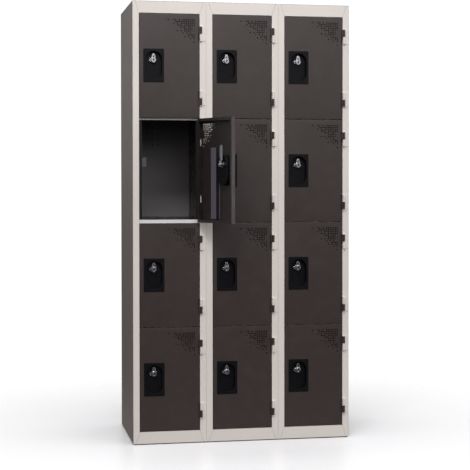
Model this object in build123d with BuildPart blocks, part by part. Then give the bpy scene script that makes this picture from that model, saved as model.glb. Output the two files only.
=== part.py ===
"""Steel locker cabinet: three columns of four lockers, one door standing open.

Row frame, in millimetres: +Z up, the front faces -Y, and the origin is the middle of
the footprint on the floor.  Door pieces are first drawn in the hinge frame: its origin
is on the hinge axis, level with the top line of the door's tier, with the door closed.
"""
from build123d import *
import os

os.makedirs("parts", exist_ok=True)

# ---------------------------------------------------------------- driving sizes
CABINET_WIDTH = 900.0
CABINET_DEPTH = 500.0
CABINET_HEIGHT = 1800.0
COLUMNS = 3
TIERS = 4

# sheet-metal body
PANEL = 1.0                 # thickness of the side, back, top and partition sheets
SHELF_SHEET = 1.2
SHELF_FLANGE = 11.0         # turned-down welding flange along each side of a shelf
BASE_HEIGHT = 4.0           # base tray, which lifts the body off the floor
BASE_INSET = 3.0
BASE_SHEET = 1.2

# face frame of one column
STILE = 26.0
TOP_RAIL = 48.0
BOTTOM_RAIL = 52.0          # measured from the floor
FRAME_SHEET = 1.2
FRAME_SEAM = 0.6            # seam between the frames of two columns
MITRE_SEAM = 0.8
MITRE_END_INSET = 10.0      # outer end of a mitre from the outer edge of the stile

# doors
DOOR_DEPTH = 17.5
DOOR_SHEET = 1.2
DOOR_FOLD = 12.0            # return fold around the back of the door tray
FOLD_RADIUS = 1.0
FREE_EDGE_GAP = 2.0
HINGE_EDGE_GAP = 2.0
TIER_GAP = 3.0              # gap between one door and the next above it
DOOR_SWING = 115.0          # degrees from closed to the hinge's stop
OPEN_DOOR = (0, 1)          # column and tier of the door that stands open

# stops behind the doors
STOP_GAP = 1.0              # between the back of a closed door and its stop
STOP_SHEET = 1.5
STOP_REACH = 14.0           # how far a stop strip shows past the stile
RAIL_ABOVE = 12.6           # a rail between two tiers, above and below the tier line
RAIL_BELOW = 6.8

# door stiffener, a top-hat section
STIFFENER_WIDTH = 37.0
STIFFENER_FLANGE = 8.0
STIFFENER_FROM_FREE_SIDE = 130.0
STIFFENER_TOP = 121.0
STIFFENER_BOTTOM_INSET = 19.0
STIFFENER_SET_BACK = 1.0    # below the back of the door tray

# hinges
BARREL_RADIUS = 5.0
PIN_RADIUS = 2.5
PIN_CLEARANCE = 0.05
PIN_HEAD = 1.5
BARREL_STAND_OFF = 0.5      # between the barrel and the face of the frame
PIVOT_INSET = 4.5           # hinge axis past the edge of the opening
HINGE_FROM_EDGE = 53.0      # from the tier line to the near end of the hinge
KNUCKLE = 29.0
KNUCKLE_GAP = 0.5
LEAF = 2.0
LEAF_REACH = 18.5
LEAF_BARREL_GAP = 0.8
STRAP_REACH = 35.0
STRAP_ELBOW = 9.0
STRAP_NOTCH_WIDTH = 8.0     # beside the door's knuckle, and beside the frame's
KNUCKLE_NOTCH_WIDTH = 4.0
NOTCH_CLEARANCE = 0.3

# recessed lock cup
CUP_FROM_FREE_SIDE = 60.0
CUP_BELOW_TIER_LINE = 212.0
CUP_PLATE = (84.0, 136.0, 2.0)
CUP_CORNER = 4.0
RECESS = (66.0, 116.0)
RECESS_DEPTH = 18.0
CUP_WALL = 2.0
CUP_FIT = 0.5               # between the cup and the cut-out in the door
CUP_FLOOR_RADIUS = 3.0

# turning hasp lock
LOCK_BELOW_TIER_LINE = 190.0
ROSETTE_RADIUS = 12.0
ROSETTE_HEIGHT = 7.0
HASP_PLATE = 2.5
HASP_HOLE_AT = 14.5
HASP_HOLE_RADIUS = 2.4
EAR_TIP_RADIUS = 4.0
LUG_GAP = 0.5
LUG_TIP_AT = 22.0
LUG_TIP_RADIUS = 5.5
KNOB_RADIUS = 11.0
KNOB_HEIGHT = 6.5
KNOB_CHAMFER = 1.5
KNOB_SLOT = (3.0, 13.0, 2.0)
LOCK_BARREL_RADIUS = 9.0
LOCK_BARREL_FIT = 0.1
SPINDLE_RADIUS = 4.0
SPINDLE_CLEARANCE = 0.05
BARREL_NUT = (12.7, 3.0)    # corner radius and thickness
END_NUT = (7.0, 4.5)
SPINDLE_TAIL = 1.5

# cam and keeper
KEEPER_HEIGHT = 37.0
KEEPER_REACH = 18.0         # past the stop strip
KEEPER_LAP = 6.0            # on the stop strip
KEEPER_SHEET = 1.5
KEEPER_PAD_MINIMUM = 1.0
KEEPER_CUP_GAP = 2.2
CAM_KEEPER_GAP = 1.0
CAM_SHEET = 2.5
CAM_WIDTH = 14.0
CAM_LENGTH = 78.0
CAM_CRANK = 5.3
CAM_CRANK_FROM = 12.0
CAM_CRANK_TO = 20.0

# ventilation
PERFORATION_PITCH = 7.5
PERFORATION_HOLE = 4.5
PERFORATION_FROM_HINGE_SIDE = 23.0
PERFORATION_BELOW_TIER_LINE = 25.4
PERFORATION_ROWS = (        # free side on the left, hinge side on the right
    "#..##.#.#######",
    "....###########",
    "...#.#.########",
    ".....###.######",
    ".......###.####",
    ".........######",
    ".....#.#.######",
    "........#.#.#.#",
    "...........####",
    ".........#.#.##",
    "............#.#",
    "...............",
    "..............#",
)
VENT_RADIUS = 2.5
VENT_PITCH = 24.0
VENT_COLUMNS = 3
VENT_ROWS = 4
VENT_FROM_SIDE = 114.0
VENT_BELOW_TIER_LINE = 24.5

# ---------------------------------------------------------------- derived sizes
FRONT = -CABINET_DEPTH / 2
BACK = CABINET_DEPTH / 2
LEFT = -CABINET_WIDTH / 2
RIGHT = CABINET_WIDTH / 2
COLUMN_WIDTH = CABINET_WIDTH / COLUMNS
OPENING_WIDTH = COLUMN_WIDTH - 2 * STILE
OPENING_TOP = CABINET_HEIGHT - TOP_RAIL
TIER_PITCH = (OPENING_TOP - BOTTOM_RAIL) / TIERS
BODY_TOP = CABINET_HEIGHT - PANEL

PIVOT_OUT = BARREL_RADIUS + BARREL_STAND_OFF
STOP_FRONT = DOOR_DEPTH + STOP_GAP
STOP_BACK = STOP_FRONT + STOP_SHEET
STRIP_BACK = STOP_BACK + STOP_SHEET
CUP_BACK = RECESS_DEPTH + CUP_WALL
KEEPER_FRONT = max(STRIP_BACK + KEEPER_PAD_MINIMUM, CUP_BACK + KEEPER_CUP_GAP)
KEEPER_BACK = KEEPER_FRONT + KEEPER_SHEET
CAM_FRONT = KEEPER_BACK + CAM_KEEPER_GAP
CAM_BOSS_FRONT = CAM_FRONT + CAM_CRANK
CAM_BOSS_BACK = CAM_BOSS_FRONT + CAM_SHEET
ROSETTE_FRONT = RECESS_DEPTH - ROSETTE_HEIGHT
LUG_BACK = ROSETTE_FRONT - LUG_GAP
LUG_FRONT = LUG_BACK - HASP_PLATE
KNOB_FRONT = LUG_FRONT - KNOB_HEIGHT
HINGE_LENGTH = 2 * KNUCKLE + KNUCKLE_GAP


def column_left(column):
    """X of the left edge of a column."""
    return LEFT + column * COLUMN_WIDTH


def opening_left(column):
    """X of the left edge of a column's door opening."""
    return column_left(column) + STILE


def tier_line(tier):
    """Z of the line above a tier; tier_line(TIERS) is the bottom of the openings."""
    return OPENING_TOP - tier * TIER_PITCH


def cabinet_plane(depth):
    """The plane parallel to the front, this far behind it; its local Y is up."""
    return Plane.XZ.offset(-(FRONT + depth))


def door_plane(depth):
    """The same plane in the hinge frame of a door."""
    return Plane.XZ.offset(-(PIVOT_OUT + depth))


def from_free_side(distance):
    """X in the hinge frame, measured from the free side of the opening."""
    return distance - OPENING_WIDTH - PIVOT_INSET


def from_hinge_side(distance):
    """X in the hinge frame, measured from the hinge side of the opening."""
    return -PIVOT_INSET - distance


def rectangle(left, right, bottom, top):
    """A rectangle given by its edges, in the sketch being drawn."""
    with Locations(((left + right) / 2, (bottom + top) / 2)):
        Rectangle(right - left, top - bottom)


def export(shape, node):
    """Label one node and write it."""
    shape.label = node
    export_step(shape, "parts/" + node + ".step")


def group(pieces, node):
    """Write separate solids as one node."""
    export(Compound(label=node, children=pieces), node)


# ---------------------------------------------------------------- body panels
def side_panel(outer_face, inward):
    """One side sheet, from the front of the frame to the back panel."""
    inner_face = outer_face + inward * PANEL
    with BuildPart() as panel:
        with BuildSketch(Plane.XY.offset(BASE_HEIGHT)):
            rectangle(min(outer_face, inner_face), max(outer_face, inner_face), FRONT, BACK - PANEL)
        extrude(amount=BODY_TOP - BASE_HEIGHT)
    return panel.part


export(side_panel(LEFT, 1), "side_panel_left")
export(side_panel(RIGHT, -1), "side_panel_right")

partition_sheets = []
for column in range(1, COLUMNS):
    middle = column_left(column)
    with BuildPart() as partition:
        with BuildSketch(Plane.XY.offset(BASE_HEIGHT)):
            rectangle(middle - PANEL / 2, middle + PANEL / 2, FRONT + STOP_BACK, BACK - PANEL)
        extrude(amount=BODY_TOP - BASE_HEIGHT)
    partition_sheets.append(partition.part)
group(partition_sheets, "partitions")

vent_points = []
for column in range(COLUMNS):
    for tier in range(TIERS):
        for across in range(VENT_COLUMNS):
            for down in range(VENT_ROWS):
                vent_x = column_left(column) + VENT_FROM_SIDE + across * VENT_PITCH
                vent_z = tier_line(tier) - VENT_BELOW_TIER_LINE - down * VENT_PITCH
                vent_points.append((vent_x, vent_z))

with BuildPart() as back_panel:
    with BuildSketch(cabinet_plane(CABINET_DEPTH - PANEL)):
        rectangle(LEFT, RIGHT, BASE_HEIGHT, BODY_TOP)
        with Locations(*vent_points):
            Circle(VENT_RADIUS, mode=Mode.SUBTRACT)
    extrude(amount=-PANEL)
export(back_panel.part, "back_panel")

with BuildPart() as top_panel:
    with BuildSketch(Plane.XY.offset(BODY_TOP)):
        Rectangle(CABINET_WIDTH, CABINET_DEPTH)
    extrude(amount=PANEL)
export(top_panel.part, "top_panel")

with BuildPart() as base_panel:
    with BuildSketch(Plane.XY):
        Rectangle(CABINET_WIDTH - 2 * BASE_INSET, CABINET_DEPTH - 2 * BASE_INSET)
    extrude(amount=BASE_HEIGHT)
    offset(amount=-BASE_SHEET, openings=base_panel.faces().sort_by(Axis.Z)[-1:])
export(base_panel.part, "base_panel")


# ---------------------------------------------------------------- face frames
def frame_member(corners, channel):
    """One folded channel of a face frame: a mitred outline and its hollow."""
    with BuildPart() as member:
        with BuildSketch(cabinet_plane(0)):
            with BuildLine():
                Polyline(*corners, close=True)
            make_face()
        extrude(amount=-STOP_BACK)
        with BuildSketch(cabinet_plane(FRAME_SHEET)):
            rectangle(*channel)
        extrude(amount=-STOP_BACK, mode=Mode.SUBTRACT)
    return member.part


def face_frame(column):
    """The two stiles and two rails around the doors of one column."""
    left = column_left(column) + (PANEL if column == 0 else FRAME_SEAM / 2)
    right = column_left(column + 1) - (PANEL if column == COLUMNS - 1 else FRAME_SEAM / 2)
    inner_left = opening_left(column)
    inner_right = inner_left + OPENING_WIDTH
    low, high = BASE_HEIGHT, BODY_TOP
    inner_low, inner_high = BOTTOM_RAIL, OPENING_TOP
    seam = MITRE_SEAM / 2
    sheet = FRAME_SHEET
    beyond = CABINET_HEIGHT
    stiles = []
    for outer, inner in ((left, inner_left), (right, inner_right)):
        mitre_end = outer + MITRE_END_INSET * (1 if inner > outer else -1)
        corners = (
            (outer, low),
            (mitre_end, low),
            (inner, inner_low + seam),
            (inner, inner_high - seam),
            (mitre_end, high),
            (outer, high),
        )
        near, far = min(outer, inner), max(outer, inner)
        stiles.append(frame_member(corners, (near + sheet, far - sheet, -beyond, 2 * beyond)))
    rails = []
    for outer, inner in ((low, inner_low), (high, inner_high)):
        corners = (
            (left + MITRE_END_INSET + MITRE_SEAM, outer),
            (inner_left + seam, inner),
            (inner_right - seam, inner),
            (right - MITRE_END_INSET - MITRE_SEAM, outer),
        )
        near, far = min(outer, inner), max(outer, inner)
        rails.append(frame_member(corners, (-beyond, beyond, near + sheet, far - sheet)))
    return stiles + rails


frame_members = []
for column in range(COLUMNS):
    frame_members += face_frame(column)
group(frame_members, "front_frames")

# ---------------------------------------------------------------- door stops
cross_rails = []
for column in range(COLUMNS):
    for tier in range(TIERS + 1):
        line = tier_line(tier)
        rail_top = line if tier == 0 else line + RAIL_ABOVE
        rail_bottom = line if tier == TIERS else line - RAIL_BELOW
        with BuildPart() as cross_rail:
            with BuildSketch(cabinet_plane(STOP_FRONT)):
                rectangle(opening_left(column), opening_left(column) + OPENING_WIDTH, rail_bottom, rail_top)
            extrude(amount=-STOP_SHEET)
        cross_rails.append(cross_rail.part)
group(cross_rails, "cross_rails")


def panel_face(column, side):
    """X of the inner face of the sheet at the left (-1) or right (1) of a column."""
    edge = column_left(column) if side < 0 else column_left(column + 1)
    outermost = column == (0 if side < 0 else COLUMNS - 1)
    return edge - side * (PANEL if outermost else PANEL / 2)


stop_strips = []
for column in range(COLUMNS):
    for side in (-1, 1):
        wall = panel_face(column, side)
        opening_edge = opening_left(column) + (0 if side < 0 else OPENING_WIDTH)
        reach = opening_edge - side * STOP_REACH
        with BuildPart() as stop_strip:
            with BuildSketch(cabinet_plane(STOP_BACK)):
                rectangle(min(wall, reach), max(wall, reach), BASE_HEIGHT, BODY_TOP)
            extrude(amount=-STOP_SHEET)
        stop_strips.append(stop_strip.part)
group(stop_strips, "stop_strips")

# ---------------------------------------------------------------- shelves
shelf_sheets = []
for column in range(COLUMNS):
    wall_left, wall_right = panel_face(column, -1), panel_face(column, 1)
    tongue_left = opening_left(column) + STOP_REACH
    tongue_right = opening_left(column) + OPENING_WIDTH - STOP_REACH
    strip_back = FRONT + STRIP_BACK
    for tier in range(1, TIERS + 1):
        shelf_top = tier_line(tier) + RAIL_ABOVE
        with BuildPart() as shelf:
            with BuildSketch(Plane.XY.offset(shelf_top)):
                rectangle(wall_left, wall_right, strip_back, BACK - PANEL)
                rectangle(tongue_left, tongue_right, FRONT + STOP_BACK, strip_back + STOP_SHEET)
            extrude(amount=-SHELF_SHEET)
            with BuildSketch(Plane.XY.offset(shelf_top - SHELF_SHEET)):
                for near, far in ((wall_left, wall_left + SHELF_SHEET), (wall_right - SHELF_SHEET, wall_right)):
                    rectangle(near, far, strip_back, BACK - PANEL)
            extrude(amount=-SHELF_FLANGE)
        shelf_sheets.append(shelf.part)
group(shelf_sheets, "shelves")

# ---------------------------------------------------------------- hinge frame places
door_low = -TIER_PITCH + TIER_GAP / 2
door_high = -TIER_GAP / 2
door_free = from_free_side(FREE_EDGE_GAP)
door_hinged = from_hinge_side(HINGE_EDGE_GAP)
cup_x = from_free_side(CUP_FROM_FREE_SIDE)
cup_centre = (cup_x, -CUP_BELOW_TIER_LINE)
lock_axis = (cup_x, -LOCK_BELOW_TIER_LINE)
hinge_middles = (-HINGE_FROM_EDGE - HINGE_LENGTH / 2, -TIER_PITCH + HINGE_FROM_EDGE + HINGE_LENGTH / 2)


def knuckle_span(middle, half):
    """Bottom of one half of a hinge; half is 1 above the middle and -1 below it."""
    return middle + KNUCKLE_GAP / 2 if half > 0 else middle - KNUCKLE_GAP / 2 - KNUCKLE


def door_half(middle):
    """The half of a hinge that belongs to the door: the half nearer the door's end."""
    return 1 if middle > -TIER_PITCH / 2 else -1


# ---------------------------------------------------------------- door
def door_tray():
    """The folded door skin, with its perforation, lock cut-out and hinge notches."""
    holes = []
    for row, text in enumerate(PERFORATION_ROWS):
        for place, mark in enumerate(reversed(text)):
            if mark == "#":
                hole_x = from_hinge_side(PERFORATION_FROM_HINGE_SIDE + place * PERFORATION_PITCH)
                holes.append((hole_x, -PERFORATION_BELOW_TIER_LINE - row * PERFORATION_PITCH))
    with BuildPart() as tray:
        with BuildSketch(door_plane(0)):
            rectangle(door_free, door_hinged, door_low, door_high)
        extrude(amount=-DOOR_DEPTH)
        fillet(tray.faces().sort_by(Axis.Y)[0].edges(), FOLD_RADIUS)
        inner = (
            door_free + DOOR_SHEET,
            door_hinged - DOOR_SHEET,
            door_low + DOOR_SHEET,
            door_high - DOOR_SHEET,
        )
        with BuildSketch(door_plane(DOOR_SHEET)):
            rectangle(*inner)
        extrude(amount=-(DOOR_DEPTH - 2 * DOOR_SHEET), mode=Mode.SUBTRACT)
        with BuildSketch(door_plane(DOOR_SHEET)):
            fold = DOOR_FOLD - DOOR_SHEET
            rectangle(inner[0] + fold, inner[1] - fold, inner[2] + fold, inner[3] - fold)
        extrude(amount=-DOOR_DEPTH, mode=Mode.SUBTRACT)
        with BuildSketch(door_plane(0)):
            with Locations(*holes):
                Rectangle(PERFORATION_HOLE, PERFORATION_HOLE)
            with Locations(cup_centre):
                cut = 2 * (CUP_WALL + CUP_FIT)
                SlotOverall(RECESS[1] + cut, RECESS[0] + cut, rotation=90)
        extrude(amount=-DOOR_SHEET, mode=Mode.SUBTRACT)
        with BuildSketch(door_plane(0)):
            notch = HINGE_LENGTH / 2 + NOTCH_CLEARANCE
            for middle in hinge_middles:
                strap_end = middle + door_half(middle) * notch
                knuckle_end = middle - door_half(middle) * notch
                strap_low, strap_high = sorted((middle, strap_end))
                low, high = sorted((middle, knuckle_end))
                rectangle(door_hinged - STRAP_NOTCH_WIDTH, door_hinged, strap_low, strap_high)
                rectangle(door_hinged - KNUCKLE_NOTCH_WIDTH, door_hinged, low, high)
        extrude(amount=-(DOOR_SHEET + LEAF + NOTCH_CLEARANCE), mode=Mode.SUBTRACT)
    return tray.part


def door_stiffener():
    """The top-hat section welded down the inside of the door."""
    middle = from_free_side(STIFFENER_FROM_FREE_SIDE)
    low = -TIER_PITCH + STIFFENER_BOTTOM_INSET
    rear = DOOR_DEPTH - STIFFENER_SET_BACK
    half = STIFFENER_WIDTH / 2
    with BuildPart() as stiffener:
        with BuildSketch(door_plane(DOOR_SHEET)):
            rectangle(middle - half, middle + half, low, -STIFFENER_TOP)
        extrude(amount=-(rear - DOOR_SHEET))
        with BuildSketch(door_plane(DOOR_SHEET)):
            rectangle(middle - half - STIFFENER_FLANGE, middle + half + STIFFENER_FLANGE, low, -STIFFENER_TOP)
        extrude(amount=-DOOR_SHEET)
        with BuildSketch(door_plane(DOOR_SHEET)):
            rectangle(middle - half + DOOR_SHEET, middle + half - DOOR_SHEET, low, -STIFFENER_TOP)
        extrude(amount=-(rear - 2 * DOOR_SHEET), mode=Mode.SUBTRACT)
    return stiffener.part


def hinge_strap(middle):
    """The door's half of a hinge: a knuckle on a strap cranked through the notch."""
    skin_back = PIVOT_OUT + DOOR_SHEET
    half = LEAF / 2
    outline = (
        (0, -half),
        (-STRAP_ELBOW, -half),
        (-STRAP_ELBOW, skin_back),
        (-STRAP_REACH, skin_back),
        (-STRAP_REACH, skin_back + LEAF),
        (-STRAP_ELBOW + LEAF, skin_back + LEAF),
        (-STRAP_ELBOW + LEAF, half),
        (0, half),
    )
    with BuildPart() as strap:
        with BuildSketch(Plane.XY.offset(knuckle_span(middle, door_half(middle)))):
            with BuildLine():
                Polyline(*outline, close=True)
            make_face()
            Circle(BARREL_RADIUS)
            Circle(PIN_RADIUS + PIN_CLEARANCE, mode=Mode.SUBTRACT)
        extrude(amount=KNUCKLE)
    return strap.part


# ---------------------------------------------------------------- lock cup
def lock_cup():
    """The plastic cup: a plate on the door and a recess for the lock and fingers."""
    with BuildPart() as cup:
        with BuildSketch(door_plane(0)):
            with Locations(cup_centre):
                RectangleRounded(CUP_PLATE[0], CUP_PLATE[1], CUP_CORNER)
        extrude(amount=CUP_PLATE[2])
        fillet(cup.faces().sort_by(Axis.Y)[0].edges(), CUP_PLATE[2] / 2)
        with BuildSketch(door_plane(0)):
            with Locations(cup_centre):
                SlotOverall(RECESS[1] + 2 * CUP_WALL, RECESS[0] + 2 * CUP_WALL, rotation=90)
        extrude(amount=-CUP_BACK)
        fillet(cup.faces().sort_by(Axis.Y)[-1].edges(), CUP_FLOOR_RADIUS)
        with BuildSketch(door_plane(-CUP_PLATE[2])):
            with Locations(cup_centre):
                SlotOverall(RECESS[1], RECESS[0], rotation=90)
        extrude(amount=-(CUP_PLATE[2] + RECESS_DEPTH), mode=Mode.SUBTRACT)
        mouth = cup.faces().sort_by(Axis.Y)[0].inner_wires()[0].edges()
        fillet(mouth, CUP_PLATE[2] / 2)
        with BuildSketch(door_plane(RECESS_DEPTH)):
            with Locations(lock_axis):
                Circle(LOCK_BARREL_RADIUS + LOCK_BARREL_FIT)
        extrude(amount=-CUP_WALL, mode=Mode.SUBTRACT)
    return cup.part


# ---------------------------------------------------------------- lock
def lock_shell():
    """The fixed half of the hasp lock: rosette, side ear and threaded barrel."""
    barrel_end = CAM_BOSS_FRONT - LUG_GAP
    with BuildPart() as shell:
        with BuildSketch(door_plane(ROSETTE_FRONT)):
            with Locations(lock_axis):
                Circle(ROSETTE_RADIUS)
        extrude(amount=-ROSETTE_HEIGHT)
        with BuildSketch(door_plane(ROSETTE_FRONT)):
            with Locations(lock_axis):
                Circle(ROSETTE_RADIUS)
            with Locations((lock_axis[0] - HASP_HOLE_AT, lock_axis[1])):
                Circle(EAR_TIP_RADIUS)
            make_hull()
            with Locations((lock_axis[0] - HASP_HOLE_AT, lock_axis[1])):
                Circle(HASP_HOLE_RADIUS, mode=Mode.SUBTRACT)
        extrude(amount=-HASP_PLATE)
        with BuildSketch(door_plane(RECESS_DEPTH)):
            with Locations(lock_axis):
                Circle(LOCK_BARREL_RADIUS)
        extrude(amount=-(barrel_end - RECESS_DEPTH))
        with BuildSketch(door_plane(ROSETTE_FRONT)):
            with Locations(lock_axis):
                Circle(SPINDLE_RADIUS + SPINDLE_CLEARANCE)
        extrude(amount=-(barrel_end - ROSETTE_FRONT), mode=Mode.SUBTRACT)
    return shell.part


def ring_nut(depth, bore, nut):
    """A hexagon nut on the lock's axis."""
    with BuildPart() as hexagon:
        with BuildSketch(door_plane(depth)):
            with Locations(lock_axis):
                RegularPolygon(nut[0], 6)
                Circle(bore, mode=Mode.SUBTRACT)
        extrude(amount=-nut[1])
    return hexagon.part


def turning_knob():
    """The turning half of the hasp lock: knob, lug and spindle."""
    lug_tip = (lock_axis[0], lock_axis[1] + LUG_TIP_AT)
    with BuildPart() as knob:
        with BuildSketch(door_plane(LUG_FRONT)):
            with Locations(lock_axis):
                Circle(KNOB_RADIUS)
        extrude(amount=KNOB_HEIGHT)
        chamfer(knob.faces().sort_by(Axis.Y)[0].edges(), KNOB_CHAMFER)
        with BuildSketch(door_plane(LUG_FRONT)):
            with Locations(lock_axis):
                Circle(KNOB_RADIUS)
            with Locations(lug_tip):
                Circle(LUG_TIP_RADIUS)
            make_hull()
            with Locations((lock_axis[0], lock_axis[1] + HASP_HOLE_AT)):
                Circle(HASP_HOLE_RADIUS, mode=Mode.SUBTRACT)
        extrude(amount=-HASP_PLATE)
        with BuildSketch(door_plane(KNOB_FRONT)):
            with Locations(lock_axis):
                Rectangle(KNOB_SLOT[0], KNOB_SLOT[1])
                Circle(KNOB_SLOT[0])
        extrude(amount=-KNOB_SLOT[2], mode=Mode.SUBTRACT)
        with BuildSketch(door_plane(LUG_BACK)):
            with Locations(lock_axis):
                Circle(SPINDLE_RADIUS)
        extrude(amount=-(CAM_BOSS_BACK + END_NUT[1] + SPINDLE_TAIL - LUG_BACK))
    return knob.part


def cam():
    """The cranked cam on the spindle's tail, pointing up while unlocked."""
    side_view = Plane.YZ.offset(lock_axis[0] - CAM_WIDTH / 2)
    axis_z = lock_axis[1]
    boss, tongue = PIVOT_OUT + CAM_BOSS_FRONT, PIVOT_OUT + CAM_FRONT
    outline = (
        (boss, axis_z - CAM_WIDTH / 2),
        (boss, axis_z + CAM_CRANK_FROM),
        (tongue, axis_z + CAM_CRANK_TO),
        (tongue, axis_z + CAM_LENGTH),
        (tongue + CAM_SHEET, axis_z + CAM_LENGTH),
        (tongue + CAM_SHEET, axis_z + CAM_CRANK_TO),
        (boss + CAM_SHEET, axis_z + CAM_CRANK_FROM),
        (boss + CAM_SHEET, axis_z - CAM_WIDTH / 2),
    )
    with BuildPart() as bar:
        with BuildSketch(side_view):
            with BuildLine():
                Polyline(*outline, close=True)
            make_face()
        extrude(amount=CAM_WIDTH)
        ends = bar.edges().filter_by(Axis.Y)
        fillet(ends, CAM_WIDTH / 2 - CAM_SHEET)
        with BuildSketch(door_plane(CAM_BOSS_FRONT)):
            with Locations(lock_axis):
                Circle(SPINDLE_RADIUS + SPINDLE_CLEARANCE)
        extrude(amount=-CAM_SHEET, mode=Mode.SUBTRACT)
    return bar.part


# ---------------------------------------------------------------- frame side of the hinges
def hinge_leaf(middle):
    """The frame's half of a hinge: leaf, knuckle and the pin fixed in it."""
    door_side = door_half(middle)
    door_knuckle = knuckle_span(middle, door_side)
    frame_knuckle = knuckle_span(middle, -door_side)
    low = middle - HINGE_LENGTH / 2
    pin_end = door_knuckle + KNUCKLE if door_side > 0 else door_knuckle
    head_from = pin_end + door_side * NOTCH_CLEARANCE
    with BuildPart() as leaf:
        with BuildSketch(Plane.XY.offset(low)):
            rectangle(BARREL_RADIUS + LEAF_BARREL_GAP, LEAF_REACH, PIVOT_OUT - LEAF, PIVOT_OUT)
        extrude(amount=HINGE_LENGTH)
        with BuildSketch(Plane.XY.offset(frame_knuckle)):
            rectangle(0, LEAF_REACH, PIVOT_OUT - LEAF, PIVOT_OUT)
            Circle(BARREL_RADIUS)
        extrude(amount=KNUCKLE)
        pin_from = frame_knuckle + KNUCKLE / 2
        with BuildSketch(Plane.XY.offset(pin_from)):
            Circle(PIN_RADIUS)
        extrude(amount=head_from - pin_from)
        with BuildSketch(Plane.XY.offset(head_from)):
            Circle(BARREL_RADIUS)
        extrude(amount=door_side * PIN_HEAD)
    return leaf.part


# ---------------------------------------------------------------- keeper
def latch_keeper():
    """The plate behind the stop strip that the cam turns in behind."""
    lap = from_free_side(STOP_REACH - KEEPER_LAP)
    edge = from_free_side(STOP_REACH)
    tip = from_free_side(STOP_REACH + KEEPER_REACH)
    low = lock_axis[1] - CAM_WIDTH / 2
    with BuildPart() as keeper:
        with BuildSketch(door_plane(KEEPER_FRONT)):
            rectangle(lap, tip, low, low + KEEPER_HEIGHT)
        extrude(amount=-KEEPER_SHEET)
        with BuildSketch(door_plane(STRIP_BACK)):
            rectangle(lap, edge, low, low + KEEPER_HEIGHT)
        extrude(amount=-(KEEPER_FRONT - STRIP_BACK))
    return keeper.part


# ---------------------------------------------------------------- every locker
def hinge_place(column, tier, angle=0.0):
    """Where a column and tier's hinge frame stands, and how far its door is open."""
    pivot_x = opening_left(column) + OPENING_WIDTH + PIVOT_INSET
    return Location((pivot_x, FRONT - PIVOT_OUT, tier_line(tier)), (0, 0, 1), angle)


door_solids = [door_tray(), door_stiffener()] + [hinge_strap(middle) for middle in hinge_middles]
cup_solid = lock_cup()
lock_solids = [lock_shell(), ring_nut(CUP_BACK, LOCK_BARREL_RADIUS, BARREL_NUT)]
latch_solids = [turning_knob(), cam(), ring_nut(CAM_BOSS_BACK, SPINDLE_RADIUS, END_NUT)]
leaf_solids = [hinge_leaf(middle) for middle in hinge_middles]
keeper_solid = latch_keeper()

leaves, keepers = [], []
for column in range(COLUMNS):
    for tier in range(TIERS):
        locker = "_" + str(column + 1) + "_" + str(tier + 1)
        closed = hinge_place(column, tier)
        door = hinge_place(column, tier, DOOR_SWING) if (column, tier) == OPEN_DOOR else closed
        group([solid.moved(door) for solid in door_solids], "door" + locker)
        export(cup_solid.moved(door), "lock_cup" + locker)
        group([solid.moved(door) for solid in lock_solids], "lock_body" + locker)
        group([solid.moved(door) for solid in latch_solids], "latch" + locker)
        leaves += [solid.moved(closed) for solid in leaf_solids]
        keepers.append(keeper_solid.moved(closed))
group(leaves, "hinge_leaves")
group(keepers, "latch_keepers")
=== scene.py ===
"""Looks of the steel locker cabinet: powder-coated sheet, black cups, bright locks.

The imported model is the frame.  Lengths are metres.  Doors and latches are redrawn from
their own CAD solids, so that each solid can have its own finish and softened edges.
"""
import math

import bmesh
import bpy
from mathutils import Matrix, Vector


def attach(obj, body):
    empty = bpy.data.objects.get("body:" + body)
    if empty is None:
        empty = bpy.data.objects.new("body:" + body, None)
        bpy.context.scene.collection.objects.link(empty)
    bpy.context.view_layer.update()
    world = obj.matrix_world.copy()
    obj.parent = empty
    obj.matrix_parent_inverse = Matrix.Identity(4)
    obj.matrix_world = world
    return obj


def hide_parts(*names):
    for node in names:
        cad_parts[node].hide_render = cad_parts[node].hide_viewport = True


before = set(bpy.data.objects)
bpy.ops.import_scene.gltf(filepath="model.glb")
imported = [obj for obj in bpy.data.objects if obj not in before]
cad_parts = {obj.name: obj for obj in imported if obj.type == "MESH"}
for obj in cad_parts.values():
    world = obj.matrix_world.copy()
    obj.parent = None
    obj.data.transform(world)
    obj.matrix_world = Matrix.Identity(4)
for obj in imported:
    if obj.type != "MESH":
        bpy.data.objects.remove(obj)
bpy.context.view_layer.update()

MM = 0.001
TIER_PITCH = 0.425
WELD_HEIGHT = 0.0579        # of the lowest shelf's row of spot welds
WELD_PITCH = 0.080
WELD_FLOOR = 0.0015         # radius of a weld mark's flat bottom, and of its rim
WELD_RIM = 0.0040
COLUMN_PITCH = 0.300
TOP_LINE = 1.752            # of the uppermost tier
LEFT = -0.450
BACK = 0.250
STILE = 0.026
STOP_REACH = 0.014
STRIP_FRONT = -0.230
PIVOT_X = -0.1715           # hinge axis of the first column
PIVOT_Y = -0.2555
LOCK_ACROSS = -0.1925       # lock axis from the hinge axis
LOCK_BELOW_LINE = 0.190
LOCK_PLUG_FRONT = 0.0081
VENT_COLUMNS = 3
VENT_ROWS = 4
VENT_PITCH = 0.024
VENT_FROM_SIDE = 0.114
VENT_BELOW_LINE = 0.0245
VENT_SHADE_FRONT = 0.0004        # before the back face of the back panel
VENT_SHADE_RADIUS = 0.0026
VENT_SHADE_THICKNESS = 0.0003
BUFFER_HEIGHTS = (0.060, 0.365)
BUFFER_FRONT = 0.0020       # before the stop strip
BUFFER_RADIUS = 0.0040
BUFFER_LENGTH = 0.0022
PLUG_RADIUS = 0.0029
PLUG_DEPTH = 0.0012
COLUMNS = 3
TIERS = 4
OPEN_LOCKER = (1, 2)
DOOR_SWING = math.radians(115)
LOCKERS = [(column, tier) for column in range(1, COLUMNS + 1) for tier in range(1, TIERS + 1)]


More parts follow.
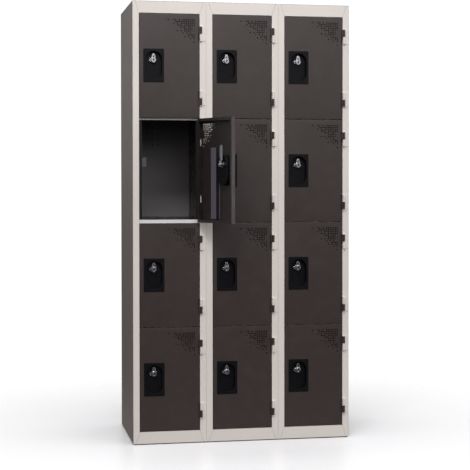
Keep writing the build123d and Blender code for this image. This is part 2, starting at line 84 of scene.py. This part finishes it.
def srgb(red, green, blue):
    """An 8-bit display colour as scene-linear RGBA."""
    linear = []
    for value in (red, green, blue):
        share = value / 255
        linear.append(share / 12.92 if share <= 0.04045 else ((share + 0.055) / 1.055) ** 2.4)
    return (*linear, 1.0)


# ---------------------------------------------------------------- material helpers
class Nodes:
    """A small writer for one material's node tree."""

    def __init__(self, name):
        self.material = bpy.data.materials.new(name)
        self.material.use_nodes = True
        self.tree = self.material.node_tree
        self.shader = self.tree.nodes["Principled BSDF"]
        self.place = self.tree.nodes.new("ShaderNodeTexCoord").outputs["Object"]

    def new(self, kind, **settings):
        node = self.tree.nodes.new("ShaderNode" + kind)
        for key, value in settings.items():
            setattr(node, key, value)
        return node

    def link(self, source, target):
        self.tree.links.new(source, target)

    def noise(self, size, detail=2.0, stretch=(1, 1, 1)):
        """Noise whose features are about this many metres across."""
        mapping = self.new("Mapping")
        mapping.inputs["Scale"].default_value = stretch
        self.link(self.place, mapping.inputs["Vector"])
        texture = self.new("TexNoise")
        texture.inputs["Scale"].default_value = 1 / size
        texture.inputs["Detail"].default_value = detail
        self.link(mapping.outputs["Vector"], texture.inputs["Vector"])
        return texture.outputs["Fac"]

    def cells(self, size):
        """Cell pattern whose cells are about this many metres across."""
        texture = self.new("TexVoronoi")
        texture.inputs["Scale"].default_value = 1 / size
        self.link(self.place, texture.inputs["Vector"])
        return texture.outputs["Distance"]

    def ramp(self, source, low, high, low_value, high_value):
        """Map low..high of a value onto two values, clamped."""
        node = self.new("MapRange")
        limits = (("From Min", low), ("From Max", high), ("To Min", low_value), ("To Max", high_value))
        for name, value in limits:
            node.inputs[name].default_value = value
        self.link(source, node.inputs["Value"])
        return node.outputs["Result"]

    def math(self, operation, first, second):
        node = self.new("Math", operation=operation)
        for socket, value in zip(node.inputs, (first, second)):
            if isinstance(value, (int, float)):
                socket.default_value = value
            else:
                self.link(value, socket)
        return node.outputs["Value"]

    def blend(self, share, first, second):
        """Colour that goes from first to second as share goes from 0 to 1."""
        node = self.new("Mix", data_type="RGBA")
        if isinstance(share, (int, float)):
            node.inputs[0].default_value = share
        else:
            self.link(share, node.inputs[0])
        for socket, value in ((node.inputs[6], first), (node.inputs[7], second)):
            if isinstance(value, tuple):
                socket.default_value = value
            else:
                self.link(value, socket)
        return node.outputs[2]

    def edge(self, radius):
        """1 within about this distance of a convex or concave edge, 0 on flats."""
        bevel = self.new("Bevel", samples=6)
        bevel.inputs["Radius"].default_value = radius
        true_normal = self.new("NewGeometry").outputs["Normal"]
        product = self.new("VectorMath", operation="DOT_PRODUCT")
        self.link(bevel.outputs["Normal"], product.inputs[0])
        self.link(true_normal, product.inputs[1])
        return self.ramp(product.outputs["Value"], 0.80, 0.995, 1.0, 0.0)

    def faces_in(self):
        """1 on sheet faces that look at the cabinet's middle, 0 on those that look away."""
        level = self.new("VectorMath", operation="MULTIPLY")
        level.inputs[1].default_value = (1.0, 1.0, 0.0)
        self.link(self.place, level.inputs[0])
        product = self.new("VectorMath", operation="DOT_PRODUCT")
        self.link(level.outputs["Vector"], product.inputs[0])
        self.link(self.new("NewGeometry").outputs["Normal"], product.inputs[1])
        return self.ramp(product.outputs["Value"], -0.08, -0.04, 1.0, 0.0)

    def bump(self, height, strength, distance, rounding=0.0):
        """Shading normal with small relief, and with edges that look rounded by this radius."""
        node = self.new("Bump")
        node.inputs["Strength"].default_value = strength
        node.inputs["Distance"].default_value = distance
        self.link(height, node.inputs["Height"])
        if rounding:
            bevel = self.new("Bevel", samples=8)
            bevel.inputs["Radius"].default_value = rounding
            self.link(bevel.outputs["Normal"], node.inputs["Normal"])
        return node.outputs["Normal"]

    def set(self, **values):
        for name, value in values.items():
            socket = self.shader.inputs[name.replace("_", " ")]
            if isinstance(value, (int, float, tuple)):
                socket.default_value = value
            else:
                self.link(value, socket)
        return self.material


def shade(colour, factor):
    """A colour made darker or lighter."""
    return tuple(min(1.0, channel * factor) for channel in colour[:3]) + (1.0,)


def weld_dimples(nodes, across):
    """Shallow round spot-weld marks in rows along the shelves; 1 on the flats, 0 in a dimple."""
    axes = nodes.new("SeparateXYZ")
    nodes.link(nodes.place, axes.inputs["Vector"])
    up = nodes.math("PINGPONG", nodes.math("SUBTRACT", axes.outputs["Z"], WELD_HEIGHT), TIER_PITCH / 2)
    along = nodes.math("PINGPONG", axes.outputs[across], WELD_PITCH / 2)
    squared = nodes.math("ADD", nodes.math("POWER", up, 2), nodes.math("POWER", along, 2))
    reach = nodes.math("SQRT", squared, 0)
    return nodes.ramp(reach, WELD_FLOOR, WELD_RIM, 0.0, 1.0)


DUST = srgb(150, 146, 142)


def powder_coat(name, colour, rough, specular=0.4, wear=None, wear_share=0.35, welds=None, inside=None):
    """Baked powder coat: fine orange peel, cloudy gloss, faint dirt and rubbed edges.

    Welded outer sheets find their inner faces by position, other pieces by their marks; those faces
    take the inside colour, painted shade where it is darker and painted light where it is lighter.
    """
    nodes = Nodes(name)
    if inside:
        if welds:
            marked = nodes.faces_in()
        else:
            marked = nodes.new("Attribute", attribute_name="inside").outputs["Fac"]
        # inner faces take the inside colour: painted shade where darker, painted light where lighter
        flat = nodes.blend(marked, colour, inside)
        darker = nodes.blend(marked, shade(colour, 0.95), shade(inside, 0.92))
    else:
        flat, darker = colour, shade(colour, 0.95)
    cloud = nodes.ramp(nodes.noise(0.35, 2.0), 0.3, 0.7, 0.0, 1.0)
    tone = nodes.blend(cloud, darker, flat)
    speck = nodes.ramp(nodes.noise(1.6 * MM, 1.0), 0.62, 0.74, 0.0, 0.16)
    tone = nodes.blend(speck, tone, shade(colour, 1.5))
    dust = nodes.ramp(nodes.noise(0.05, 6.0), 0.50, 0.8, 0.0, 0.03)
    tone = nodes.blend(dust, tone, DUST)
    if wear:
        chipped = nodes.ramp(nodes.noise(9 * MM, 4.0), 0.45, 0.68, 0.0, wear_share)
        rubbed = nodes.math("MULTIPLY", nodes.edge(1.0 * MM), chipped)
        tone = nodes.blend(rubbed, tone, wear)
    gloss = nodes.ramp(nodes.noise(0.06, 4.0), 0.3, 0.7, rough - 0.03, rough + 0.04)
    waves = nodes.math("MULTIPLY", nodes.noise(7 * MM, 1.0), 0.6)
    height = nodes.math("ADD", nodes.noise(1.1 * MM, 2.0), waves)
    if welds:
        height = nodes.math("ADD", height, nodes.math("MULTIPLY", weld_dimples(nodes, welds), 5.0))
    return nodes.set(
        Base_Color=tone,
        Roughness=gloss,
        Specular_IOR_Level=specular,
        Normal=nodes.bump(height, 0.22, 0.12 * MM),
    )


def bright_metal(name, colour, rough, brushed=(1, 1, 1), dull=0.12, rounding=0.0):
    """Plated metal with hairline polish marks and slightly dull patches."""
    nodes = Nodes(name)
    patch = nodes.ramp(nodes.noise(6 * MM, 3.0), 0.35, 0.7, rough, rough + dull)
    hair = nodes.noise(0.5 * MM, 3.0, brushed)
    clean = nodes.ramp(nodes.noise(4 * MM, 2.0), 0.3, 0.7, 0.0, 1.0)
    tone = nodes.blend(clean, shade(colour, 0.82), colour)
    return nodes.set(
        Base_Color=tone,
        Metallic=1.0,
        Roughness=patch,
        Normal=nodes.bump(hair, 0.08, 0.05 * MM, rounding),
    )


def moulded_plastic(name, colour, rough):
    """Injection-moulded plastic: fine pebble grain, rubbed lighter on the rims."""
    nodes = Nodes(name)
    pebble = nodes.cells(1.1 * MM)
    rubbed = nodes.ramp(nodes.noise(8 * MM, 3.0), 0.4, 0.65, 0.1, 0.5)
    rim = nodes.math("MULTIPLY", nodes.edge(1.0 * MM), rubbed)
    lighter = shade(colour, 2.6)
    dust = nodes.ramp(nodes.noise(0.03, 4.0), 0.45, 0.75, 0.0, 0.12)
    tone = nodes.blend(rim, nodes.blend(dust, colour, lighter), lighter)
    return nodes.set(
        Base_Color=tone,
        Specular_IOR_Level=0.14,
        Roughness=nodes.ramp(nodes.noise(0.012, 3.0), 0.3, 0.7, rough - 0.06, rough + 0.08),
        Normal=nodes.bump(pebble, 0.18, 0.08 * MM),
    )


def rubber(name, colour):
    """Soft rubber with a matt bloom."""
    nodes = Nodes(name)
    bloom = nodes.ramp(nodes.noise(3 * MM, 3.0), 0.35, 0.7, 0.0, 0.6)
    return nodes.set(
        Base_Color=nodes.blend(bloom, colour, shade(colour, 1.8)),
        Roughness=0.8,
        Normal=nodes.bump(nodes.noise(0.8 * MM, 2.0), 0.2, 0.08 * MM),
    )


# the door's inner faces take a darker colour: painted shade
DOOR_PAINT = powder_coat(
    "door_powder_coat", srgb(55, 45, 43), 0.37, 0.46, wear=srgb(104, 96, 92), inside=srgb(42, 36, 35)
)
# side panels: painted light on the outer faces, painted shade on the inner faces
SIDE_PAINT = powder_coat(
    "side_powder_coat", srgb(130, 120, 114), 0.48, 0.15,
    wear=srgb(130, 122, 118), welds="Y", inside=srgb(80, 75, 75),
)
# the back panel's inner face is painted lighter than its outside: painted light in the dim compartments
BACK_PAINT = powder_coat(
    "back_powder_coat", srgb(100, 94, 92), 0.44, 0.30,
    wear=srgb(120, 114, 110), welds="X", inside=srgb(150, 144, 146),
)
BODY_PAINT = powder_coat("body_powder_coat", srgb(76, 71, 69), 0.44, 0.35, wear=srgb(120, 114, 110))
INNER_PAINT = powder_coat("inner_powder_coat", srgb(46, 43, 43), 0.26, 0.45, wear=srgb(92, 88, 86))
STRIP_PAINT = powder_coat("strip_powder_coat", srgb(26, 24, 24), 0.5, 0.25, wear=srgb(60, 56, 54))
# the stiffener's side walls and flanges take the dark inside colour: painted shade; the lighter crown
# is its own finish
STIFFENER_PAINT = powder_coat(
    "stiffener_powder_coat", srgb(94, 88, 100), 0.42, wear=srgb(150, 145, 152), inside=srgb(30, 27, 27)
)
FRAME_PAINT = powder_coat(
    "frame_powder_coat", srgb(228, 220, 214), 0.40, 0.4, wear=srgb(176, 168, 160), wear_share=0.25
)
RAIL_PAINT = powder_coat("rail_powder_coat", srgb(236, 232, 232), 0.30, 0.5, wear=srgb(176, 168, 160))
CUP_PLASTIC = moulded_plastic("cup_plastic", srgb(10, 10, 15), 0.42)
CHROME = bright_metal("lock_chrome", srgb(176, 175, 182), 0.16, rounding=1.4 * MM)
ZINC = bright_metal("zinc_plate", srgb(196, 199, 208), 0.34, brushed=(1, 1, 0.1), dull=0.16)
SHADED_ZINC = bright_metal("zinc_plate_painted_shade", srgb(96, 97, 102), 0.5, dull=0.18)
# a darker copy of the zinc plate for the keepers: painted shade deep in the compartments; the rougher
# gloss is the plate's own
SHADED_PLUG = moulded_plastic("plug_painted_shade", srgb(24, 24, 26), 0.5)
# near-black material of the key plugs: painted shade of the keyhole recess
BUMPER_RUBBER = rubber("bumper_rubber", srgb(30, 30, 32))
# near-black material of the vent discs: painted shade
VENT_SHADE = rubber("vent_painted_shade", srgb(14, 14, 15))


def dress(node, material):
    """Give a carried-over CAD node its finish."""
    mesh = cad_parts[node].data
    mesh.materials.clear()
    mesh.materials.append(material)


def soften(piece, width):
    """Round an object's sharp edges a little."""
    rounding = piece.modifiers.new("softened_edges", "BEVEL")
    rounding.width = width
    rounding.segments = 2
    rounding.limit_method = "ANGLE"
    rounding.angle_limit = math.radians(40)
    rounding.harden_normals = True


# ---------------------------------------------------------------- pieces from solids
def solids_of(node):
    """The closed solids of a CAD node, each as its faces' corners and all its points."""
    source = bmesh.new()
    source.from_mesh(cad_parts[node].data)
    bmesh.ops.remove_doubles(source, verts=source.verts, dist=0.002 * MM)
    source.faces.ensure_lookup_table()
    unseen = dict.fromkeys(source.faces)  # keeps its order, so every run gives the same mesh
    solids = []
    while unseen:
        stack = [unseen.popitem()[0]]
        member = []
        while stack:
            face = stack.pop()
            member.append(face)
            for edge in face.edges:
                for other in edge.link_faces:
                    if other in unseen:
                        del unseen[other]
                        stack.append(other)
        points = {vertex: vertex.co.copy() for face in member for vertex in face.verts}
        solids.append(([[points[v] for v in f.verts] for f in member], list(points.values())))
    source.free()
    return solids


def height_of(solid):
    """How tall a solid stands."""
    return max(point.z for point in solid[1]) - min(point.z for point in solid[1])


def piece_from(name, solids, material, body, bevel=0.0):
    """One welded, smooth-shaded object made from whole solids."""
    made = bmesh.new()
    for faces, _ in solids:
        for corners in faces:
            made.faces.new([made.verts.new(corner) for corner in corners])
    bmesh.ops.remove_doubles(made, verts=made.verts, dist=0.002 * MM)
    bmesh.ops.dissolve_limit(made, angle_limit=math.radians(0.5), verts=made.verts, edges=made.edges)
    mesh = bpy.data.meshes.new(name)
    made.to_mesh(mesh)
    made.free()
    return finish_piece(name, mesh, material, body, bevel)


def finish_piece(name, mesh, material, body, bevel=0.0):
    """Put a mesh in the scene, shade it, soften its edges and let it ride."""
    mesh.shade_smooth()
    mesh.set_sharp_from_angle(angle=math.radians(32))
    mesh.materials.append(material)
    piece = bpy.data.objects.new(name, mesh)
    bpy.context.scene.collection.objects.link(piece)
    if bevel:
        soften(piece, bevel)
    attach(piece, body)
    return piece


def mark_inside(piece, inward):
    """Mark the faces that only show from inside the cabinet, which the door's material paints darker as
    painted shade.
    """
    mesh = piece.data
    low = Vector([min(v.co[i] for v in mesh.vertices) for i in range(3)])
    high = Vector([max(v.co[i] for v in mesh.vertices) for i in range(3)])
    middle = (low + high) / 2
    inside = mesh.attributes.new("inside", "FLOAT", "FACE")
    for polygon in mesh.polygons:
        facing = polygon.normal.dot(inward)
        towards_middle = polygon.normal.dot(middle - polygon.center)
        hidden = facing > 0.5 or (abs(facing) < 0.5 and towards_middle > 0)
        inside.data[polygon.index].value = 1.0 if hidden else 0.0


def mark_walls(piece, inward):
    """Mark every face but those that look straight into the cabinet; the stiffener's material paints
    these walls dark as painted shade.
    """
    inside = piece.data.attributes.new("inside", "FLOAT", "FACE")
    for polygon in piece.data.polygons:
        inside.data[polygon.index].value = 0.0 if polygon.normal.dot(inward) > 0.9 else 1.0


def rest_angle(locker):
    """How far a locker's door stands open at rest."""
    return DOOR_SWING if locker == OPEN_LOCKER else 0.0


def inward_of(locker):
    """Which way the inner face of a locker's door looks."""
    angle = rest_angle(locker)
    return Vector((-math.sin(angle), math.cos(angle), 0.0))


def disc(made, middle, normal, radius, depth, sides=20):
    """Add a short cylinder that starts at a point and goes back along its normal."""
    normal = Vector(normal).normalized()
    side = normal.orthogonal().normalized()
    other = normal.cross(side)
    front, rear = [], []
    for step in range(sides):
        angle = 2 * math.pi * step / sides
        rim = Vector(middle) + radius * (math.cos(angle) * side + math.sin(angle) * other)
        front.append(made.verts.new(rim))
        rear.append(made.verts.new(rim - depth * normal))
    made.faces.new(front)
    made.faces.new(rear[::-1])
    for step in range(sides):
        after = (step + 1) % sides
        made.faces.new((front[step], rear[step], rear[after], front[after]))


# ---------------------------------------------------------------- carried-over nodes
FINISHES = {
    "side_panel_left": SIDE_PAINT,
    "side_panel_right": SIDE_PAINT,
    "back_panel": BACK_PAINT,
    "top_panel": BODY_PAINT,
    "base_panel": BODY_PAINT,
    "partitions": INNER_PAINT,
    "shelves": INNER_PAINT,
    "stop_strips": STRIP_PAINT,
    "front_frames": FRAME_PAINT,
    "cross_rails": RAIL_PAINT,
    "hinge_leaves": FRAME_PAINT,
    # keepers get the darker zinc copy: painted shade
    "latch_keepers": SHADED_ZINC,
}
for name, finish in FINISHES.items():
    dress(name, finish)
soften(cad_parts["front_frames"], 0.7 * MM)
soften(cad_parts["hinge_leaves"], 0.3 * MM)
soften(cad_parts["cross_rails"], 0.3 * MM)

# ---------------------------------------------------------------- lockers
for column, tier in LOCKERS:
    locker = f"_{column}_{tier}"
    door_body = "door" + locker
    latch_body = "latch" + locker
    dress("lock_cup" + locker, CUP_PLASTIC)

    ranked = sorted(solids_of("door" + locker), key=height_of)
    straps, stiffener, tray = ranked[:-2], ranked[-2], ranked[-1]
    skin = piece_from("door_skin" + locker, [tray, *straps], DOOR_PAINT, door_body)
    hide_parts("door" + locker)
    # the door's inner faces are marked for the darker painted shade
    mark_inside(skin, inward_of((column, tier)))
    beam = piece_from("door_stiffener" + locker, [stiffener], STIFFENER_PAINT, door_body)
    # the stiffener's walls are marked for the dark painted shade
    mark_walls(beam, inward_of((column, tier)))

    lock_solids = solids_of("lock_body" + locker)
    shell = piece_from("lock_shell" + locker, lock_solids, CHROME, door_body, 0.35 * MM)
    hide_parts("lock_body" + locker)

    end_nut, knob, lever = sorted(solids_of("latch" + locker), key=height_of)
    turn = piece_from("lock_knob" + locker, [knob], CHROME, latch_body, 0.5 * MM)
    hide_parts("latch" + locker)
    piece_from("lock_cam" + locker, [lever, end_nut], ZINC, latch_body, 0.3 * MM)


# ---------------------------------------------------------------- small added pieces
def from_hinge(locker, across, depth, up):
    """A point given from a locker's hinge axis with its door closed, as it stands at rest."""
    column, tier = locker
    angle = rest_angle(locker)
    x = across * math.cos(angle) - depth * math.sin(angle)
    y = across * math.sin(angle) + depth * math.cos(angle)
    return Vector((PIVOT_X + (column - 1) * COLUMN_PITCH + x, PIVOT_Y + y, tier_line(tier) + up))


def tier_line(tier):
    """Height of the line above a tier."""
    return TOP_LINE - (tier - 1) * TIER_PITCH


def round_pieces(name, discs, material, body, bevel=0.0):
    """One object made of short cylinders, each (middle, normal, radius, depth)."""
    made = bmesh.new()
    for middle, normal, radius, depth in discs:
        disc(made, middle, normal, radius, depth)
    mesh = bpy.data.meshes.new(name)
    made.to_mesh(mesh)
    made.free()
    return finish_piece(name, mesh, material, body, bevel)


# near-black discs just behind the vent holes of the back panel: painted shade that keeps the holes dark
vent_shades = []
for column, tier in LOCKERS:
    for across in range(VENT_COLUMNS):
        for down in range(VENT_ROWS):
            vent_x = LEFT + (column - 1) * COLUMN_PITCH + VENT_FROM_SIDE + across * VENT_PITCH
            vent_z = tier_line(tier) - VENT_BELOW_LINE - down * VENT_PITCH
            middle = (vent_x, BACK - VENT_SHADE_FRONT, vent_z)
            vent_shades.append((middle, (0, -1, 0), VENT_SHADE_RADIUS, VENT_SHADE_THICKNESS))
round_pieces("vent_shade_discs", vent_shades, VENT_SHADE, "root")

# rubber buffers that the free side of a closed door meets
buffers = []
for column, tier in LOCKERS:
    for up in BUFFER_HEIGHTS:
        buffer_x = LEFT + (column - 1) * COLUMN_PITCH + STILE + STOP_REACH / 2
        middle = (buffer_x, STRIP_FRONT - BUFFER_FRONT, tier_line(tier) - up)
        buffers.append((middle, (0, -1, 0), BUFFER_RADIUS, BUFFER_LENGTH))
round_pieces("door_buffers", buffers, BUMPER_RUBBER, "root", 0.5 * MM)

# the key plug in the middle of each knob, near-black as painted shade for its keyhole recess
for locker in LOCKERS:
    face = from_hinge(locker, LOCK_ACROSS, LOCK_PLUG_FRONT, -LOCK_BELOW_LINE)
    name = f"lock_plug_{locker[0]}_{locker[1]}"
    plug = [(face, -inward_of(locker), PLUG_RADIUS, PLUG_DEPTH)]
    round_pieces(name, plug, SHADED_PLUG, f"latch_{locker[0]}_{locker[1]}", 0.3 * MM)


# ---------------------------------------------------------------- stage, light, camera
def studio_floor():
    """A plain white floor that fades into the white surroundings."""
    mesh = bpy.data.meshes.new("studio_floor")
    reach = 30.0
    corners = [(-reach, -reach, 0), (reach, -reach, 0), (reach, reach, 0), (-reach, reach, 0)]
    mesh.from_pydata(corners, [], [(0, 1, 2, 3)])
    nodes = Nodes("studio_white")
    distance = nodes.new("VectorMath", operation="LENGTH")
    nodes.link(nodes.place, distance.inputs[0])
    nodes.set(
        Roughness=0.30,
        Specular_IOR_Level=0.35,
        Alpha=nodes.ramp(distance.outputs["Value"], 0.6, 2.0, 1.0, 0.0),
    )
    bounce = nodes.new("LightPath").outputs["Is Camera Ray"]
    nodes.set(Base_Color=nodes.blend(bounce, (0.16, 0.155, 0.165, 1.0), (0.96, 0.955, 0.975, 1.0)))
    mesh.materials.append(nodes.material)
    floor = bpy.data.objects.new("studio_floor", mesh)
    bpy.context.scene.collection.objects.link(floor)


def studio_world(sky, ground):
    """Surroundings bright above the horizon and dim below; plain white to the camera."""
    world = bpy.data.worlds.new("studio_world")
    bpy.context.scene.world = world
    world.use_nodes = True
    tree = world.node_tree
    fill = tree.nodes["Background"]
    direction = tree.nodes.new("ShaderNodeTexCoord")
    axes = tree.nodes.new("ShaderNodeSeparateXYZ")
    tree.links.new(direction.outputs["Generated"], axes.inputs["Vector"])
    level = tree.nodes.new("ShaderNodeMapRange")
    for name, value in (("From Min", -0.04), ("From Max", 0.05), ("To Min", ground), ("To Max", sky)):
        level.inputs[name].default_value = value
    tree.links.new(axes.outputs["Z"], level.inputs["Value"])
    tree.links.new(level.outputs["Result"], fill.inputs["Strength"])
    fill.inputs["Color"].default_value = (1.0, 1.0, 1.0, 1.0)
    backdrop = tree.nodes.new("ShaderNodeBackground")
    backdrop.inputs["Color"].default_value = (1.0, 1.0, 1.0, 1.0)
    backdrop.inputs["Strength"].default_value = 1.05
    choose = tree.nodes.new("ShaderNodeMixShader")
    rays = tree.nodes.new("ShaderNodeLightPath")
    tree.links.new(rays.outputs["Is Camera Ray"], choose.inputs["Fac"])
    tree.links.new(fill.outputs["Background"], choose.inputs[1])
    tree.links.new(backdrop.outputs["Background"], choose.inputs[2])
    tree.links.new(choose.outputs["Shader"], tree.nodes["World Output"].inputs["Surface"])


def softbox(name, place, target, size, watts):
    """A large square area light that faces a point."""
    light = bpy.data.lights.new(name, "AREA")
    light.shape = "RECTANGLE"
    light.size, light.size_y = size
    light.energy = watts
    lamp = bpy.data.objects.new(name, light)
    lamp.location = place
    lamp.rotation_euler = (Vector(target) - Vector(place)).to_track_quat("-Z", "Y").to_euler()
    bpy.context.scene.collection.objects.link(lamp)


def camera():
    """A long lens, low and to the left, turned a little to the right."""
    data = bpy.data.cameras.new("camera")
    data.sensor_width = 36.0
    data.lens = 108.6
    data.shift_x = -0.100
    data.shift_y = -0.051
    data.clip_end = 200.0
    view = bpy.data.objects.new("camera", data)
    view.location = (-1.0275, -5.9829, 1.0827)
    yaw, pitch = 0.2053, -0.023
    view.rotation_euler = (math.pi / 2 + pitch, 0.0, -yaw)
    bpy.context.scene.collection.objects.link(view)
    bpy.context.scene.camera = view


studio_floor()
studio_world(0.64, 0.03)
softbox("key_light", (-0.9, -3.2, 3.7), (0.0, -0.25, 0.9), (1.4, 1.0), 64)
softbox("top_light", (0.0, -0.9, 6.5), (0.0, -0.6, 0.0), (4.0, 4.0), 140)
softbox("front_light", (1.4, -9.0, 4.0), (0.0, 0.0, 1.0), (5.5, 2.6), 95)
softbox("edge_light", (4.6, -2.9, 1.5), (-0.1, -0.3, 1.2), (0.9, 2.6), 34)
camera()
bpy.context.scene.view_settings.view_transform = "Standard"
